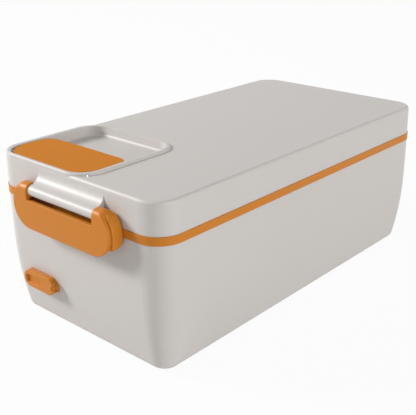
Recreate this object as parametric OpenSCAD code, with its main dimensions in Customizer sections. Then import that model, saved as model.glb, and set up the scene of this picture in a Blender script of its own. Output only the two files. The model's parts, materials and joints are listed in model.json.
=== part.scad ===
// Electric lunch box: a heated food box with a hinged, latched lid.
// The box stands on its feet at z = 0. X runs along its length from the latch end (-X) to the hinge end (+X),
// Y across it, Z up. The origin is the centre of its footprint. Millimetres.

/* [Overall form] */
// Length between the two end walls
body_length = 240; // [220:1:260]
// Width between the two long walls
body_width = 127; // [118:1:140]
// Plan radius of the corners at the parting line
corner_radius = 14; // [13:0.5:18]
// Height of the outer shell, from its underside to the band
shell_height = 72.2; // [68:0.1:84]
// Height of the coloured band
band_height = 4.5; // [4.2:0.1:6]
// Height of the lid's side
lid_height = 17.7; // [17:0.1:21]

/* [Outer shell] */
// Wall thickness of the outer shell
shell_wall = 2.4; // [2:0.1:3]
// Thickness of the shell's floor ledge
shell_floor = 3.6; // [3.2:0.1:5]
// Depth of the upright part of the walls below the band
straight_drop = 24; // [18:1:30]
// Radius of the bow that draws the walls in below the upright part
bow_radius = 204; // [190:1:260]
// Radius of the shell's bottom edge
bottom_fillet = 5.2; // [4:0.1:6]
// How far the bottom cover is set in from the end and long walls
cover_inset = 14; // [13:0.5:16]
// Width of the floor ledge that the bottom cover seats on
ledge_width = 6; // [5:0.5:8]

/* [Band] */
// How far the band stands proud of the walls
band_proud = 0.4; // [0.2:0.1:0.6]
// Height of the rim that locates the lid
rim_height = 3; // [2:0.1:4]
// Height of the skirt that plugs into the outer shell
spigot_height = 6; // [4:0.5:10]

/* [Lid] */
// Wall thickness of the lid
lid_wall = 2.2; // [1.8:0.1:2.6]
// Inward lean of the lid's side over its height
lid_lean = 0.3; // [0.1:0.1:0.5]
// Radius of the lid's top edge
lid_fillet = 1.8; // [1.2:0.1:2.4]
// Thickness of the lid's inner panel
liner_thickness = 1.8; // [1.5:0.1:2.4]
// Width of the lid seal
gasket_width = 4; // [3:0.1:4.6]

/* [Vent frame and flap] */
// Length of the raised frame along the box
frame_length = 69.8; // [64:0.1:80]
// Width of the raised frame across the box
frame_width = 74; // [68:0.1:80]
// Height of the frame above the lid
frame_rise = 1.2; // [0.8:0.1:1.6]
// Thickness of the frame on the latch side
frame_front = 1.8; // [1.6:0.1:2.4]
// Thickness of the frame on the hinge side
frame_rear = 2; // [1.6:0.1:3]
// Thickness of the frame on the long wall's side
frame_outer = 3.4; // [3:0.1:4]
// Thickness of the frame on the lid's middle side
frame_inner = 3; // [2.4:0.1:4]
// Depth of the recess below the frame's top
recess_depth = 6; // [5.6:0.1:6.6]
// Plan radius of the recess's corners
recess_radius = 11.5; // [10:0.1:12.5]
// Length of the vent flap along the box
flap_length = 31.5; // [28:0.1:34]
// Thickness of the vent flap
flap_thickness = 3.6; // [3.2:0.1:4]
// How far the flap lies below the frame's top
flap_drop = 0.4; // [0.2:0.1:0.6]
// Gap around the vent flap
flap_gap = 0.4; // [0.3:0.1:0.6]
// Radius of the flap's rear corner on the middle side
flap_rear_near = 4.5; // [3:0.5:8]
// Radius of the flap's rear corner on the long wall's side
flap_rear_far = 8.5; // [3:0.5:11]
// Width of the finger lip on the flap's rear edge
lip_width = 25.5; // [20:0.5:30]

/* [Latch] */
// Width of the latch
latch_width = 75.5; // [70:0.5:80]
// Height of the latch
latch_height = 24.6; // [23:0.1:26]
// Thickness of the latch's face
latch_face = 2; // [1.8:0.1:2.4]
// Height of the latch's pivot below the lid's top
pivot_drop = 12.4; // [12:0.1:12.8]
// Distance of the latch's pivot from the end wall
pivot_reach = 4.6; // [4.5:0.1:5]
// Radius of the barrel on the lid
barrel_radius = 3.1; // [2.8:0.1:3.2]
// Width of the notch for the barrel
notch_width = 52; // [46:0.5:54]

/* [Hinge] */
// Radius of the hinge knuckles
knuckle_radius = 3.6; // [3.2:0.1:3.8]
// Distance of the hinge axis from the end wall
hinge_reach = 5; // [4.8:0.1:5.4]
// Length of one hinge knuckle
knuckle_length = 14; // [12:0.5:18]

/* [Heater and food containers] */
// Height of the basin's floor above the base of the shell
basin_lift = 32.8; // [32:0.1:36]
// Wall thickness of the basin
basin_wall = 1.6; // [1.4:0.1:2]
// Length of the heating plate
plate_length = 140; // [110:1:150]
// Width of the heating plate
plate_width = 64; // [52:1:68]
// Thickness of the steel container
steel_thickness = 0.8; // [0.6:0.1:1]
// Length of the side dish
dish_length = 64; // [50:1:80]
// Depth of the side dish
dish_depth = 24; // [18:1:26]

/* [Power inlet] */
// Height of the inlet's centre above the base of the shell
inlet_lift = 25.6; // [24:0.1:26]
// Distance of the inlet's centre from the middle plane
inlet_offset = 31.3; // [29:0.1:33]
// Width of the inlet's cover
inlet_cover_width = 26.2; // [25.5:0.1:28]
// Height of the inlet's cover
inlet_cover_height = 9.8; // [9.4:0.1:10.4]
// Thickness of the inlet's cover
inlet_cover_depth = 2.4; // [2.3:0.1:2.8]
// How far the bezel behind the cover stands out of the wall
bezel_proud = 1; // [0.8:0.1:1.4]

/* [Feet] */
// Height of the feet below the shell
foot_height = 1.2; // [1:0.1:2]
// Radius of the feet
foot_radius = 5.5; // [4.5:0.1:6]

/* [Hidden] */

$fn = 72;
PALE = "#cbc5bf";
ORANGE = "#c8803a";
STEEL = "#b9bcc0";
DARK = "#4a4a4c";
eps = 0.01;

// Clearances
slip = 0.2;          // between pieces of one body that plug together
soft_gap = 0.3;      // between pieces that move past each other
pin_fit = 0.05;      // radial clearance of a pin in what turns on it
seat = 0.02;         // radial clearance of a pin or screw in what holds it

// Levels
shell_base_z = foot_height;
band_z = shell_base_z + shell_height;
lid_z = band_z + band_height;
lid_top_z = lid_z + lid_height;
frame_top_z = lid_top_z + frame_rise;
end_x = body_length / 2;
side_y = body_width / 2;

// Rings inside the wall, each as its distance in from the end and long walls
spigot_in = shell_wall + slip;
spigot_out = spigot_in + 2;
rim_in = lid_wall + 0.8;
rim_out = rim_in + 1.4;
collar_out = rim_out + 0.6;
ledge_out = 9;
flange_in = collar_out + slip;
basin_in = 10;
basin_radius = 13;
basin_open = basin_in + basin_wall;
groove_in = collar_out;
groove_wall = 1.2;
gasket_in = groove_in + groove_wall + 0.1;
groove_out = gasket_in + gasket_width + 0.1;

// Heights inside the box
ledge_top_z = band_z + 2;
flange_top_z = ledge_top_z + 2;
cover_thickness = 2;
cover_top_z = shell_base_z + cover_thickness;
basin_floor_z = shell_base_z + basin_lift;
basin_floor = 2;
plate_gasket_height = 1;
plate_flange = 1.5;
plate_flange_width = 5;
plate_body = 4;
plate_top_z = basin_floor_z + basin_floor + plate_gasket_height + plate_flange;
plate_low_z = plate_top_z - plate_flange - plate_gasket_height - plate_body;
basin_draft = 1.2;
post_radius = 3.6;
post_x = plate_length / 2 + 6;
post_y = plate_width / 2 + 5.5;
screw_radius = 1.45;
screw_head_radius = 2.8;

// Lid's inside
recess_floor_z = frame_top_z - recess_depth;
recess_under_z = recess_floor_z - 2;
liner_top_z = recess_under_z - 1.8;
liner_z = liner_top_z - liner_thickness;
gasket_low_z = flange_top_z + soft_gap;
liner_inset = lid_wall + 1;
liner_boss_radius = 3.4;
liner_posts = [[-end_x + 20, -side_y + 20], [0, -side_y + 20], [end_x - 20, -side_y + 20],
    [-end_x + frame_length + 14, side_y - 20], [30, side_y - 20], [end_x - 20, side_y - 20]];

// Frame and flap
frame_x0 = -end_x;
frame_y1 = side_y;
frame_cx = frame_x0 + frame_length / 2;
frame_cy = frame_y1 - frame_width / 2;
recess_x0 = frame_x0 + lid_lean + frame_front;
recess_x1 = frame_x0 + frame_length - lid_lean - frame_rear;
recess_y0 = frame_y1 - frame_width + lid_lean + frame_inner;
recess_y1 = frame_y1 - lid_lean - frame_outer;
flap_x0 = recess_x0 + flap_gap;
flap_x1 = flap_x0 + flap_length;
flap_y0 = recess_y0 + flap_gap;
flap_y1 = recess_y1 - flap_gap;
flap_mid_y = (flap_y0 + flap_y1) / 2;
flap_top_z = frame_top_z - flap_drop;
flap_low_z = flap_top_z - flap_thickness;
flap_front_corner = recess_radius + 2;
flap_axis_x = flap_x0 + flap_thickness - 0.1;
flap_axis_z = flap_top_z - 0.95;
flap_pin_radius = 0.6;
flap_pin_length = 9.5;
vent_x = flap_x0 + flap_length * 0.62;
vent_radius = 4;

// Latch
pivot_x = -end_x - pivot_reach;
pivot_z = lid_top_z - pivot_drop;
ear_radius = pivot_reach - 0.6;
latch_front_x = pivot_x - ear_radius;
latch_back_x = latch_front_x + latch_face;
latch_top_z = pivot_z + ear_radius;
latch_low_z = latch_top_z - latch_height;
latch_round = latch_height / 2;
latch_mid_z = latch_top_z - latch_round;
latch_pin_radius = 1;
cheek_inset = 1.3;
cheek_thickness = 2.2;
cheek_radius = 9.5;
catch_top_z = latch_low_z + 6.6;
catch_low_z = latch_low_z + 4.5;
catch_reach = 4.2;
catch_width = 50;
hook_top_z = catch_low_z - 0.5;
hook_thickness = 1.6;
hook_half = 28;

// Hinge
hinge_x = end_x + hinge_reach;
hinge_z = lid_z - 2.3;
hinge_pin_radius = 1.25;
knuckle_gap = 0.3;

// Power inlet
inlet_z = shell_base_z + inlet_lift;
inlet_drop = shell_height - inlet_lift;
inlet_wall_x = -end_x + wall_in(inlet_drop - inlet_cover_height / 2);
inlet_face_x = inlet_wall_x - bezel_proud;
bezel_back_x = -end_x + wall_in(inlet_drop + inlet_cover_height / 2) + 0.4;
socket_width = 18;
socket_height = 7.8;
socket_tube = 1;
socket_depth = 15;
socket_flange = 2;
inlet_pad = 3;
inlet_back_x = bezel_back_x + inlet_pad;
pin_pitch = 8.6;
blade_radius = 1.2;
cover_front_x = inlet_face_x - slip - inlet_cover_depth;
cover_edge = inlet_cover_depth / 2;
cover_axis_x = cover_front_x + cover_edge;
cover_y0 = inlet_offset - inlet_cover_width / 2;
cover_axis_y = cover_y0 + cover_edge;
cover_pin_radius = 0.5;
cover_lug_radius = cover_edge - 0.1;
cover_lug_half = 1;

// Food containers
container_in = basin_open + 0.5;
container_rim = 3;
container_radius = 12;
container_low_z = plate_top_z + 0.05;
container_top_z = flange_top_z - 0.2;
container_step = 1.6;
step_drop = 7;
dish_wall = 1.4;

// ---------- shared shapes ----------

// Outline of the box, set in by a distance, with its own corner radius
module outline(inset, radius) {
    rounded(body_length - 2 * inset, body_width - 2 * inset, radius);
}

// Rectangle with true round corners
module rounded(length, width, radius) {
    square([length - 2 * radius, width], center = true);
    square([length, width - 2 * radius], center = true);
    for (sx = [-1, 1], sy = [-1, 1])
        translate([sx * (length / 2 - radius), sy * (width / 2 - radius)]) circle(radius);
}

// Slab of an outline between two heights
module slab(z0, z1, inset, radius) {
    translate([0, 0, z0]) linear_extrude(z1 - z0) outline(inset, radius);
}

// Runs a section round a rounded rectangle. The section's x is the distance out from the corner's centre,
// and its y is the height.
module around(length, width, radius) {
    for (k = [0:3]) {
        run = (k % 2 == 0 ? width : length) - 2 * radius;
        out = (k % 2 == 0 ? length : width) / 2 - radius;
        rotate([0, 0, 90 * k]) {
            translate([out, run / 2, 0]) rotate_extrude(angle = 90) children();
            translate([out, run / 2, 0]) rotate([90, 0, 0]) linear_extrude(run) children();
        }
    }
}

// Block that fills the middle of a run-round section
module core(length, width, radius, z0, z1) {
    translate([-length / 2 + radius, -width / 2 + radius, z0])
        cube([length - 2 * radius, width - 2 * radius, z1 - z0]);
}

// Quarter-like sector of a disc between two directions less than 180 degrees apart
module sector(radius, from, to) {
    reach = 2 * radius;
    mid = (from + to) / 2;
    intersection() {
        circle(radius);
        polygon([[0, 0], reach * [cos(from), sin(from)], reach * [cos(mid), sin(mid)],
            reach * [cos(to), sin(to)]]);
    }
}

// Section of a wall that is upright, then bows inward, then turns into a flat bottom.
// Height 0 is its top; the wall is `wide` from the corner's centre there.
module bowed_section(wide, depth, drop, bow, fillet) {
    bow_x = wide - bow;
    fillet_y = -depth + fillet;
    fillet_x = bow_x + sqrt(pow(bow - fillet, 2) - pow(fillet_y + drop, 2));
    lean = atan2(-(fillet_y + drop), fillet_x - bow_x);
    touch_x = bow_x + bow * cos(lean);
    touch_y = -drop - bow * sin(lean);
    translate([0, -drop]) square([wide, drop]);
    intersection() {
        translate([bow_x, -drop]) circle(bow, $fn = 360);
        translate([0, touch_y]) square([wide + 1, -drop - touch_y]);
    }
    polygon([[0, touch_y], [touch_x, touch_y], [fillet_x, fillet_y], [fillet_x, -depth], [0, -depth]]);
    translate([fillet_x, fillet_y]) sector(fillet, -90, -lean);
}

// Section of a leaning wall with a rounded top edge, from height 0 up
module lid_section(wide, height, lean, fillet) {
    top = wide - lean;
    polygon([[0, 0], [wide, 0], [top + lean * fillet / height, height - fillet], [top - fillet, height - fillet],
        [top - fillet, height], [0, height]]);
    translate([top - fillet, height - fillet]) sector(fillet, 0, 90);
}

// Section of a tub with a small draft and a rounded bottom edge, from its top (height 0) down
module tub_section(wide, depth, draft, fillet) {
    low = wide - draft;
    polygon([[0, 0], [wide, 0], [low, -depth + fillet], [low - fillet, -depth + fillet],
        [low - fillet, -depth], [0, -depth]]);
    translate([low - fillet, -depth + fillet]) sector(fillet, -90, 0);
}

// How far the shell's wall is drawn in at a depth below the band
function wall_in(drop) = drop <= straight_drop ? 0
    : bow_radius - sqrt(pow(bow_radius, 2) - pow(drop - straight_drop, 2));

module rod_y(radius, y0, y1) {
    translate([0, y1, 0]) rotate([90, 0, 0]) cylinder(r = radius, h = y1 - y0);
}

module rod_x(radius, x0, x1) {
    translate([x0, 0, 0]) rotate([0, 90, 0]) cylinder(r = radius, h = x1 - x0);
}

module four(x, y) {
    for (sx = [-1, 1], sy = [-1, 1]) translate([sx * x, sy * y, 0]) children();
}

// Pan-head screw that points up, its head's underside at z = 0
module screw(length, head) {
    translate([0, 0, -head]) difference() {
        cylinder(r = screw_head_radius, h = head);
        translate([0, 0, -eps]) linear_extrude(head * 0.5) {
            square([3.6, 0.8], center = true);
            square([0.8, 3.6], center = true);
        }
    }
    cylinder(r = screw_radius, h = length);
}

// ---------- body ----------

module outer_shell() {
    color(PALE) difference() {
        union() {
            translate([0, 0, band_z]) around(body_length, body_width, corner_radius) difference() {
                bowed_section(corner_radius, shell_height, straight_drop, bow_radius, bottom_fillet);
                translate([-eps, 0]) shell_hollow_section();
            }
            core(body_length, body_width, corner_radius, shell_base_z, shell_base_z + shell_floor);
            latch_catch();
            for (s = [-1, 0, 1]) shell_knuckle(s);
            inlet_seat();
        }
        slab(shell_base_z - 1, cover_top_z, cover_inset, 8);
        slab(shell_base_z - 1, shell_base_z + shell_floor + 1, cover_inset + ledge_width, 8);
        inlet_pill(-end_x - 2, bezel_back_x, slip / 2 - 0.2);
        inlet_tunnel(inlet_back_x + 1, 0.1);
        inlet_screw_holes(bezel_back_x + 1, screw_radius + seat);
        translate([hinge_x, 0, hinge_z]) rod_y(hinge_pin_radius + seat, -hinge_half() - 1, hinge_half() + 1);
    }
}

module shell_hollow_section() {
    translate([0, eps]) bowed_section(corner_radius - shell_wall, shell_height - shell_floor + eps,
        straight_drop + eps, bow_radius - shell_wall, bottom_fillet - shell_wall + 1);
}

function hinge_half() = 2.5 * knuckle_length + 2 * knuckle_gap;
function knuckle_y(s) = s * (2 * knuckle_length + 2 * knuckle_gap);

// A body knuckle with its gusset down the rear wall
module shell_knuckle(s) {
    half = knuckle_length / 2;
    translate([hinge_x, knuckle_y(s), hinge_z]) rod_y(knuckle_radius, -half, half);
    translate([0, knuckle_y(s) + half, 0]) rotate([90, 0, 0]) linear_extrude(knuckle_length)
        polygon([[end_x - shell_wall / 2, band_z - 16], [end_x, band_z - 16], [hinge_x + knuckle_radius, hinge_z],
            [hinge_x, hinge_z], [end_x + 1.2, band_z - 0.6], [end_x - shell_wall / 2, band_z - 0.6]]);
}

// Ledge on the front wall that the latch hooks under
module latch_catch() {
    translate([0, catch_width / 2, 0]) rotate([90, 0, 0]) linear_extrude(catch_width)
        polygon([[-end_x + shell_wall / 2, catch_top_z + 2.6], [-end_x, catch_top_z + 2.6],
            [-end_x - catch_reach, catch_top_z - 0.6], [-end_x - catch_reach, catch_low_z],
            [-end_x + shell_wall / 2, catch_low_z]]);
}

// Flat inner seat for the power inlet
module inlet_seat() {
    length = socket_width + 16;
    height = socket_height + 8;
    front = -end_x + wall_in(inlet_drop + height / 2) + 0.5;
    translate([front, inlet_offset - length / 2, inlet_z - height / 2])
        cube([inlet_back_x - front, length, height]);
}

// Pill with the outline of the inlet's cover, grown by a distance, between two x positions
module inlet_pill(x0, x1, grow) {
    translate([x0, inlet_offset, inlet_z]) rotate([90, 0, 90]) linear_extrude(x1 - x0)
        rounded(inlet_cover_width + 2 * grow, inlet_cover_height + 2 * grow, inlet_cover_height / 2 + grow - 0.1);
}

module inlet_tunnel(to, gap) {
    width = socket_width + 2 * gap;
    height = socket_height + 2 * gap;
    translate([-end_x - 6, inlet_offset, inlet_z]) rotate([90, 0, 90])
        linear_extrude(to + end_x + 6) rounded(width, height, height / 2 - 0.1);
}

module inlet_screw_holes(from, radius) {
    for (s = [-1, 1]) translate([0, inlet_offset + s * (socket_width / 2 + 4), inlet_z])
        rod_x(radius, from, inlet_back_x + 9);
}

// Frame round the socket's mouth, with the lug that holds the cover's pin
module inlet_bezel() {
    lug_y = 0.9;
    color(ORANGE) difference() {
        union() {
            inlet_pill(inlet_face_x, bezel_back_x, -0.2);
            translate([cover_axis_x, cover_axis_y, inlet_z - cover_lug_half]) {
                cylinder(r = cover_lug_radius, h = 2 * cover_lug_half);
                translate([0, -lug_y, 0]) cube([inlet_face_x - cover_axis_x + 0.5, 2 * lug_y, 2 * cover_lug_half]);
            }
        }
        inlet_tunnel(bezel_back_x + 1, 0.1);
        translate([cover_axis_x, cover_axis_y, inlet_z - 5]) cylinder(r = cover_pin_radius + seat, h = 10);
    }
}

module trim_ring() {
    color(ORANGE) difference() {
        union() {
            slab(band_z, lid_z, -band_proud, corner_radius + band_proud);
            slab(lid_z - eps, lid_z + rim_height, rim_in, corner_radius - rim_in);
            slab(band_z - spigot_height, band_z + eps, spigot_in, corner_radius - spigot_in);
        }
        slab(ledge_top_z, lid_z + rim_height + 1, rim_out, corner_radius - rim_out);
        slab(band_z - spigot_height - 1, band_z, spigot_out, corner_radius - spigot_out);
        slab(band_z - 1, ledge_top_z + 1, ledge_out, basin_radius + basin_in - ledge_out);
    }
}

module base_plate() {
    color(PALE) difference() {
        union() {
            slab(shell_base_z, cover_top_z - 0.05, cover_inset + slip, 8 - slip);
            slab(cover_top_z - 0.1, cover_top_z + 1.4, cover_inset + ledge_width + slip, 8 - slip);
        }
        slab(cover_top_z, cover_top_z + 2, cover_inset + ledge_width + slip + 1.4, 8 - slip - 1.4);
        four(post_x, post_y) {
            translate([0, 0, shell_base_z - 1]) cylinder(r = screw_head_radius + 0.2, h = 2);
            translate([0, 0, shell_base_z - 1]) cylinder(r = screw_radius + seat, h = 6);
        }
        four(foot_x(), foot_y()) {
            translate([0, 0, shell_base_z - 1]) cylinder(r = foot_radius + 0.1, h = 1.5);
            translate([0, 0, shell_base_z - 1]) cylinder(r = 2, h = 6);
        }
    }
}

function foot_x() = end_x - cover_inset - ledge_width - foot_radius - 0.5;
function foot_y() = side_y - cover_inset - ledge_width - foot_radius - 0.5;

module base_screws() {
    color(STEEL) four(post_x, post_y) translate([0, 0, shell_base_z + 1]) screw(11, 0.9);
}

module rubber_feet() {
    color(DARK) four(foot_x(), foot_y()) {
        difference() {
            cylinder(r = foot_radius, h = shell_base_z + 0.45);
            translate([0, 0, -eps]) cylinder(r = foot_radius - 2, h = 0.4);
        }
        cylinder(r = 1.95, h = cover_top_z + 0.6);
        translate([0, 0, cover_top_z]) cylinder(r = 2.6, h = 0.8);
    }
}

// ---------- heating ----------

module heating_basin() {
    length = body_length - 2 * basin_in;
    width = body_width - 2 * basin_in;
    depth = flange_top_z - basin_floor_z;
    color("#dedad4") difference() {
        union() {
            translate([0, 0, flange_top_z]) around(length, width, basin_radius) difference() {
                tub_section(basin_radius, depth, basin_draft, 4);
                translate([-eps, eps]) tub_section(basin_radius - basin_wall, depth - basin_floor + eps,
                    basin_draft, 3);
            }
            core(length, width, basin_radius, basin_floor_z, basin_floor_z + basin_floor);
            difference() {
                slab(ledge_top_z, flange_top_z, flange_in, corner_radius - flange_in);
                slab(ledge_top_z - 1, flange_top_z + 1, basin_in + basin_wall / 2, basin_radius - basin_wall / 2);
            }
            four(post_x, post_y) translate([0, 0, cover_top_z])
                cylinder(r = post_radius, h = basin_floor_z - cover_top_z + 0.5);
        }
        translate([0, 0, basin_floor_z - 1]) linear_extrude(basin_floor + 2)
            rounded(plate_length + 1, plate_width + 1, 10.5);
        four(post_x, post_y) translate([0, 0, cover_top_z - 1]) cylinder(r = screw_radius + seat, h = 11);
    }
}

module heating_plate() {
    color("#c4c6c8") difference() {
        union() {
            translate([0, 0, plate_top_z - plate_flange]) linear_extrude(plate_flange)
                rounded(plate_length + 2 * plate_flange_width, plate_width + 2 * plate_flange_width, 14);
            translate([0, 0, plate_low_z]) linear_extrude(plate_top_z - plate_flange - plate_low_z)
                rounded(plate_length, plate_width, 10);
        }
        for (s = [-1, 1]) translate([s * clamp_x, 0, plate_low_z - 1]) cylinder(r = screw_radius + seat, h = 5);
        for (s = [-1, 1]) translate([thermostat_x, s * thermostat_ear, plate_low_z - 1])
            cylinder(r = 1.1, h = 4);
    }
}

module plate_gasket() {
    color("#d9d4cc") translate([0, 0, basin_floor_z + basin_floor]) linear_extrude(plate_gasket_height)
        difference() {
            rounded(plate_length + 2 * plate_flange_width - 1, plate_width + 2 * plate_flange_width - 1, 13.5);
            rounded(plate_length + 1, plate_width + 1, 10.5);
        }
}

heater_length = 62;
heater_width = 30;
heater_height = 5;
clamp_x = 42;
clamp_half = 10;
clamp_sheet = 1.2;
thermostat_x = -clamp_x - 17;
thermostat_ear = 12;
fuse_x = 58;
heater_z = plate_low_z - heater_height;
clamp_z = heater_z - clamp_sheet;

module ptc_heater() {
    color("#8f8a80") {
        translate([-heater_length / 2, -heater_width / 2, heater_z])
            cube([heater_length, heater_width, heater_height]);
        for (s = [-1, 1]) translate([heater_length / 2, s * 9 - 2, heater_z + 2]) cube([6, 4, 0.8]);
    }
}

module heater_clamp() {
    drop = plate_low_z - clamp_sheet;
    leg = heater_length / 2 + 1;
    color(STEEL) difference() {
        translate([0, clamp_half, 0]) rotate([90, 0, 0]) linear_extrude(2 * clamp_half) {
            translate([-leg - clamp_sheet, clamp_z]) square([2 * (leg + clamp_sheet), clamp_sheet]);
            for (s = [0, 1]) mirror([s, 0]) {
                translate([leg, clamp_z]) square([clamp_sheet, plate_low_z - clamp_z]);
                translate([leg, drop]) square([clamp_x + 6 - leg, clamp_sheet]);
            }
        }
        for (s = [-1, 1]) translate([s * clamp_x, 0, clamp_z]) cylinder(r = screw_radius + seat, h = 12);
        for (s = [-1, 1]) translate([s * heater_length / 2 + s, 0, 0]) four(0, 9)
            translate([-1, -3, heater_z + 1]) cube([3.5, 6, 3]);
    }
}

module clamp_screws() {
    color(STEEL) for (s = [-1, 1]) translate([s * clamp_x, 0, plate_low_z - clamp_sheet]) screw(4, 1.8);
}

module thermostat() {
    color(DARK) difference() {
        translate([thermostat_x, 0, plate_low_z]) union() {
            translate([0, 0, -1]) linear_extrude(1) {
                circle(9);
                square([7, 2 * thermostat_ear + 6], center = true);
            }
            translate([0, 0, -8]) cylinder(r = 8, h = 7.5);
            for (s = [-1, 1]) translate([s * 4 - 0.4, -2.5, -14]) cube([0.8, 5, 6.5]);
        }
        for (s = [-1, 1]) translate([thermostat_x, s * thermostat_ear, plate_low_z - 3]) cylinder(r = 1.1, h = 6);
    }
}

module thermal_fuse() {
    color("#e6e2d8") translate([fuse_x, 0, plate_low_z - 2.2]) rod_y(2.1, -8, 8);
    color(STEEL) difference() {
        translate([fuse_x - 3.4, -3, plate_low_z - 5.2]) cube([6.8, 6, 5.2]);
        translate([fuse_x - 2.4, -4, plate_low_z - 4.4]) cube([4.8, 8, 4.4 + eps]);
    }
    color(STEEL) translate([fuse_x, 0, plate_low_z - 2.2]) {
        rod_y(0.5, -13, -7.9);
        rod_y(0.5, 7.9, 13);
    }
}

module heat_shield() {
    color("#d4d6d8") difference() {
        union() {
            translate([0, 0, cover_top_z + 6]) linear_extrude(0.8) rounded(130, 56, 6);
            four(50, 20) translate([0, 0, cover_top_z]) cylinder(r = 3, h = 6.1);
        }
        four(50, 20) translate([0, 0, cover_top_z - 1]) cylinder(r = 1.2, h = 5);
    }
}

// ---------- power inlet ----------

module power_inlet() {
    color(DARK) difference() {
        union() {
            translate([inlet_face_x + 0.2, inlet_offset, inlet_z]) rotate([90, 0, 90])
                linear_extrude(socket_depth) rounded(socket_width, socket_height, socket_height / 2 - 0.1);
            translate([inlet_back_x, inlet_offset, inlet_z]) rotate([90, 0, 90]) linear_extrude(socket_flange)
                rounded(socket_width + 14, socket_height + 3, 3);
        }
        translate([inlet_face_x - 1, inlet_offset, inlet_z]) rotate([90, 0, 90]) linear_extrude(socket_depth - 1)
            rounded(socket_width - 2 * socket_tube, socket_height - 2 * socket_tube,
                socket_height / 2 - socket_tube - 0.1);
        for (s = [-1, 1]) translate([0, inlet_offset + s * pin_pitch / 2, inlet_z])
            rod_x(blade_radius + seat, inlet_face_x + 2, inlet_face_x + socket_depth + 2);
        inlet_screw_holes(inlet_back_x - 1, screw_radius + seat);
    }
}

module inlet_pins() {
    color("#c9b27a") for (s = [-1, 1]) translate([0, inlet_offset + s * pin_pitch / 2, inlet_z]) {
        rod_x(blade_radius, inlet_face_x + 3.5, inlet_face_x + socket_depth + 4);
        translate([inlet_face_x + socket_depth + 3.9, -1.6, -0.4]) cube([4, 3.2, 0.8]);
    }
}

module inlet_screws() {
    color(STEEL) for (s = [-1, 1])
        translate([inlet_back_x + socket_flange, inlet_offset + s * (socket_width / 2 + 4), inlet_z])
            rotate([0, -90, 0]) screw(3.6, 1.6);
}

module inlet_cover() {
    half = inlet_cover_height / 2;
    nail_y = inlet_offset + 4.6;
    color(ORANGE) difference() {
        union() {
            intersection() {
                inlet_pill(cover_front_x, cover_front_x + inlet_cover_depth, 0);
                translate([0, 0, inlet_z - half - 1]) union() {
                    translate([cover_front_x, cover_axis_y, 0])
                        cube([inlet_cover_depth, inlet_cover_width, inlet_cover_height + 2]);
                    translate([cover_axis_x, cover_axis_y, 0])
                        cylinder(r = cover_edge, h = inlet_cover_height + 2);
                }
            }
            // plug that fits the socket's mouth
            translate([cover_front_x + inlet_cover_depth - eps, inlet_offset + 1.2, inlet_z]) rotate([90, 0, 90])
                linear_extrude(1.4) rounded(socket_width - 2 * socket_tube - 4, socket_height - 2 * socket_tube - 0.8,
                    socket_height / 2 - socket_tube - 0.5);
        }
        // nail recess
        translate([cover_front_x - 1, nail_y, inlet_z - 0.2]) rotate([90, 0, 90]) linear_extrude(2.2)
            rounded(12.8, 4.6, 1.4);
        translate([cover_axis_x, cover_axis_y, inlet_z - 8]) cylinder(r = cover_pin_radius + pin_fit, h = 16);
        // slot for the lug
        translate([cover_axis_x, cover_axis_y, inlet_z - cover_lug_half - slip]) {
            cylinder(r = cover_lug_radius + slip, h = 2 * (cover_lug_half + slip));
            translate([-3, -3, 0]) cube([6, 3, 2 * (cover_lug_half + slip)]);
            translate([0, -1, 0]) cube([3, 2.1, 2 * (cover_lug_half + slip)]);
        }
    }
}

module inlet_cover_pin() {
    color(STEEL) translate([cover_axis_x, cover_axis_y, inlet_z - 3]) cylinder(r = cover_pin_radius, h = 6);
}

// ---------- inner leads ----------

lead_radius = 1.1;
lead_sides = 8;

// Point on a smooth curve through control points (Catmull-Rom)
function curve_point(p, i, t) =
    let (n = len(p), a = p[max(i - 1, 0)], b = p[i], c = p[i + 1], d = p[min(i + 2, n - 1)])
    0.5 * ((2 * b) + (c - a) * t + (2 * a - 5 * b + 4 * c - d) * t * t + (3 * b - a - 3 * c + d) * t * t * t);
function curve(p, steps) = concat([for (i = [0:len(p) - 2], s = [0:steps - 1]) curve_point(p, i, s / steps)],
    [p[len(p) - 1]]);
function unit(v) = v / norm(v);
function ring(c, dir, radius) =
    let (u = unit(cross(dir, abs(dir.z) > 0.9 ? [1, 0, 0] : [0, 0, 1])), w = cross(dir, u))
    [for (k = [0:lead_sides - 1]) c + radius * (cos(360 * k / lead_sides) * u + sin(360 * k / lead_sides) * w)];

module lead(route) {
    p = curve(route, 4);
    n = len(p);
    dirs = [for (i = [0:n - 1]) unit(p[min(i + 1, n - 1)] - p[max(i - 1, 0)])];
    rings = [for (i = [0:n - 1]) each ring(p[i], dirs[i], lead_radius)];
    sides = [for (i = [0:n - 2], k = [0:lead_sides - 1])
        let (a = i * lead_sides + k, b = i * lead_sides + (k + 1) % lead_sides)
        [a, b, b + lead_sides, a + lead_sides]];
    polyhedron(points = rings, faces = concat([[for (k = [lead_sides - 1:-1:0]) k]], sides,
        [[for (k = [0:lead_sides - 1]) (n - 1) * lead_sides + k]]), convexity = 6);
}

tag_x = inlet_face_x + socket_depth + 8.9;
thermostat_tag_z = plate_low_z - 15.2;

module live_lead() {
    y = inlet_offset + pin_pitch / 2;
    color("#7a3b2a") lead([[tag_x, y, inlet_z], [tag_x + 4, y - 1, inlet_z - 2], [-84, 28, 16],
        [thermostat_x - 14, 16, 13], [thermostat_x - 6, 3, 13], [thermostat_x - 4, 0, thermostat_tag_z]]);
}

module heater_lead() {
    x = heater_length / 2 + 7.2;
    color("#d8d2c4") lead([[thermostat_x + 4, 0, thermostat_tag_z], [thermostat_x + 6, -4, 13], [-34, -22, 15],
        [10, -24, 18], [30, -20, 20], [x + 2, -13, heater_z], [x, -9, heater_z + 2.4]]);
}

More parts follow.
